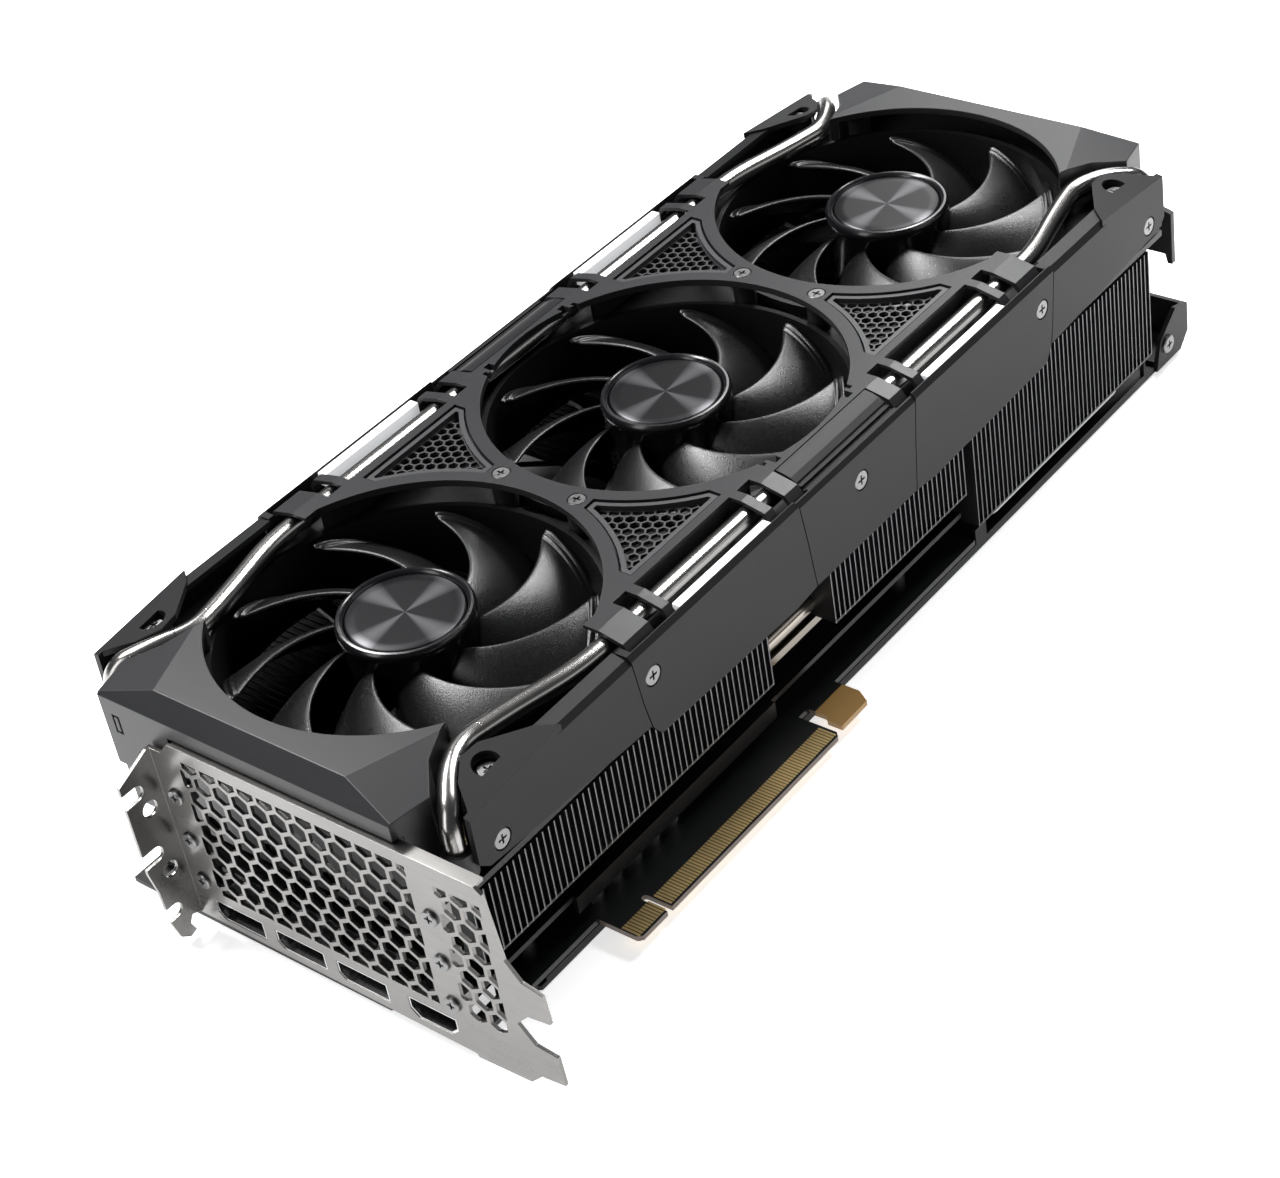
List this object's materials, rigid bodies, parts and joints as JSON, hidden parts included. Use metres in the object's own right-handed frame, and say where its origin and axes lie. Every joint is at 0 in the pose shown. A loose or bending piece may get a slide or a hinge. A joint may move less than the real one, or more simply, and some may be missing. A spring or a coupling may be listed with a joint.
{
  "type": "graphics card",
  "caption": "Desktop graphics card with axial fans in a faceted shroud, metal trim tubes, finned heatsink, slot bracket with display sockets, edge connector and backplate.",
  "frame": {"origin": "on the backplate's underside, directly below the middle fan's axis", "axes": "+X from the slot bracket towards the far end, +Y away from the edge connector, +Z from the backplate up through the fans"},
  "size_m": [0.3455, 0.1499, 0.073],
  "materials": {
    "bracket_steel": "satin nickel-plated sheet steel",
    "screw_steel": "bright zinc",
    "port_shell": "drawn stainless shell",
    "port_plastic": "black glass-filled plastic",
    "board_black": "black solder mask over glass-epoxy",
    "contact_gold": "hard gold plate",
    "chip_black": "moulded package",
    "inductor_grey": "pressed ferrite",
    "capacitor_can": "bare aluminium can",
    "backplate_black": "aluminium sheet, fine black powder coat",
    "mid_frame_black": "black coated die-cast aluminium",
    "nickel": "nickel-plated copper",
    "thermal_pad": "soft silicone pad",
    "fin_black": "black-coated aluminium fins with bright sheared edges",
    "tray_black": "black moulded plastic",
    "motor_copper": "enamelled copper on steel laminations",
    "bearing_bronze": "sintered bronze",
    "magnet": "bonded ferrite",
    "shaft_steel": "ground steel",
    "fan_plastic": "black satin moulded plastic",
    "hub_disc": "black anodised, turned finish",
    "lead_black": "black insulation",
    "shroud_black": "dark grey satin moulded plastic",
    "mesh_black": "dark grey moulded mesh",
    "tube_gunmetal": "gunmetal chrome",
    "socket_rubber": "black rubber",
    "light_diffuser": "milky translucent plastic"
  },
  "bodies": {
    "card": {"backplate": "backplate_black", "backplate_screws": "screw_steel", "bracket_screws": "screw_steel", "capacitors": "capacitor_can", "centre_frame": "shroud_black", "circuit_board": "board_black", "cold_plate": "nickel", "cooler_screws": "screw_steel", "corner_panel_front_far": "shroud_black", "corner_panel_front_near": "shroud_black", "corner_panel_rear_far": "shroud_black", "corner_panel_rear_near": "shroud_black", "display_ports": "port_shell", "edge_contacts": "contact_gold", "end_bracket": "backplate_black", "fan_bearings": "bearing_bronze", "fan_leads": "lead_black", "fan_stators": "motor_copper", "fan_tray": "tray_black", "fin_stack_front": "fin_black", "fin_stack_middle": "fin_black", "fin_stack_rear": "fin_black", "frame_screws": "screw_steel", "front_cap": "shroud_black", "gpu_package": "chip_black", "grille_inserts": "mesh_black", "hdmi_port": "port_shell", "heat_pipes": "nickel", "inductors": "inductor_grey", "io_bracket": "bracket_steel", "light_bars": "light_diffuser", "memory_chips": "chip_black", "mid_frame": "mid_frame_black", "port_tongues": "port_plastic", "power_socket": "port_plastic", "power_stages": "chip_black", "rear_cap": "shroud_black", "side_panel_front_far": "shroud_black", "side_panel_front_near": "shroud_black", "side_panel_middle_far": "shroud_black", "side_panel_middle_near": "shroud_black", "side_panel_rear_far": "shroud_black", "side_panel_rear_near": "shroud_black", "side_screws": "screw_steel", "thermal_pads": "thermal_pad", "tube_far": "tube_gunmetal", "tube_near": "tube_gunmetal", "tube_sockets": "socket_rubber"},
    "rotor_1": {"fan_rotor_1": "fan_plastic", "hub_cap_1": "hub_disc", "magnet_ring_1": "magnet", "fan_shaft_1": "shaft_steel"},
    "rotor_2": {"fan_rotor_2": "fan_plastic", "hub_cap_2": "hub_disc", "magnet_ring_2": "magnet", "fan_shaft_2": "shaft_steel"},
    "rotor_3": {"fan_rotor_3": "fan_plastic", "hub_cap_3": "hub_disc", "magnet_ring_3": "magnet", "fan_shaft_3": "shaft_steel"}
  },
  "joints": [
    {"name": "fan_1_spin", "type": "hinge", "parent": "card", "child": "rotor_1", "pos_m": [-0.1049, 0, 0.05], "axis": [0, 0, 1], "continuous": true},
    {"name": "fan_2_spin", "type": "hinge", "parent": "card", "child": "rotor_2", "pos_m": [0, 0, 0.05], "axis": [0, 0, 1], "continuous": true},
    {"name": "fan_3_spin", "type": "hinge", "parent": "card", "child": "rotor_3", "pos_m": [0.1049, 0, 0.05], "axis": [0, 0, 1], "continuous": true}
  ]
}
